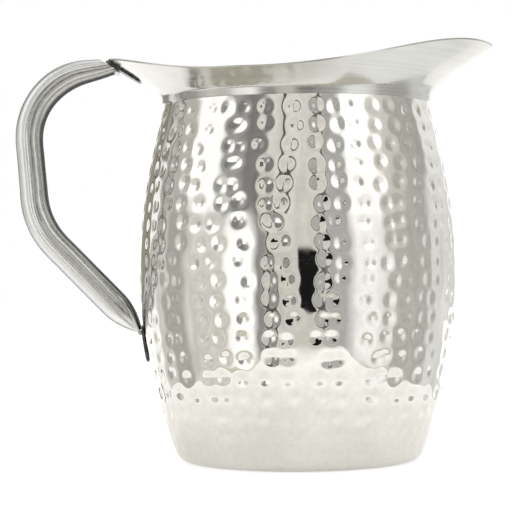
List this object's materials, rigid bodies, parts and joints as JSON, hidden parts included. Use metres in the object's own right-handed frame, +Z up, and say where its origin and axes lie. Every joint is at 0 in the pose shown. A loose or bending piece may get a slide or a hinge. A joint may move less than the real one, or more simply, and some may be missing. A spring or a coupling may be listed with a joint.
{
  "type": "water pitcher",
  "caption": "Hammered stainless steel bell pitcher: barrel body, flared collar with a pouring lip and a hollow handle, for serving water and iced drinks.",
  "frame": {"origin": "on the body's axis, in the plane of the foot ring the pitcher stands on", "axes": "+Z up along the body's axis, +X towards the pouring lip, the handle on the -X side, +Y to the left when looking from the handle to the lip"},
  "size_m": [0.2328, 0.1538, 0.201],
  "materials": {
    "hammered_steel": "polished",
    "satin_steel": "satin",
    "polished_steel": "polished",
    "plate_steel": "satin",
    "weld_steel": "satin"
  },
  "bodies": {
    "root": {"body_shell": "hammered_steel", "collar": "satin_steel", "neck_weld": "weld_steel", "handle_back_shell": "polished_steel", "handle_grip_shell": "polished_steel", "upper_handle_plate": "plate_steel", "lower_handle_plate": "plate_steel", "upper_handle_weld": "weld_steel", "lower_handle_weld": "weld_steel"}
  },
  "joints": []
}
